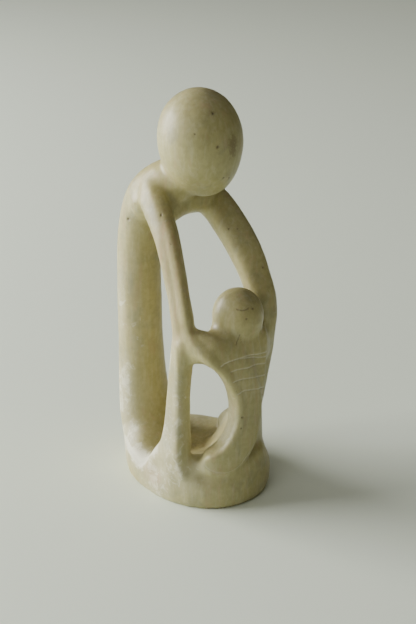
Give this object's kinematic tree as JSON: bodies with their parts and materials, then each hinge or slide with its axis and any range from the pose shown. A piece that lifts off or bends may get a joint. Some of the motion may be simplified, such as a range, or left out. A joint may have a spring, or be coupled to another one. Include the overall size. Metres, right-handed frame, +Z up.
{
  "type": "abstract soapstone carving of a parent and child",
  "caption": "Openwork abstract carving of a parent bent over a child, with smooth featureless heads, cut from one block of pale olive soapstone. Stands by its own weight.",
  "frame": {"origin": "centre of the outline on the plane of the underside", "axes": "+Z up; -Y the way the parent faces; +X towards the parent's left"},
  "size_m": [0.0828, 0.107, 0.2502],
  "materials": {
    "soapstone": "hand-sanded and waxed to a low shine"
  },
  "bodies": {
    "root": {"parent_and_child": "soapstone"}
  },
  "joints": []
}
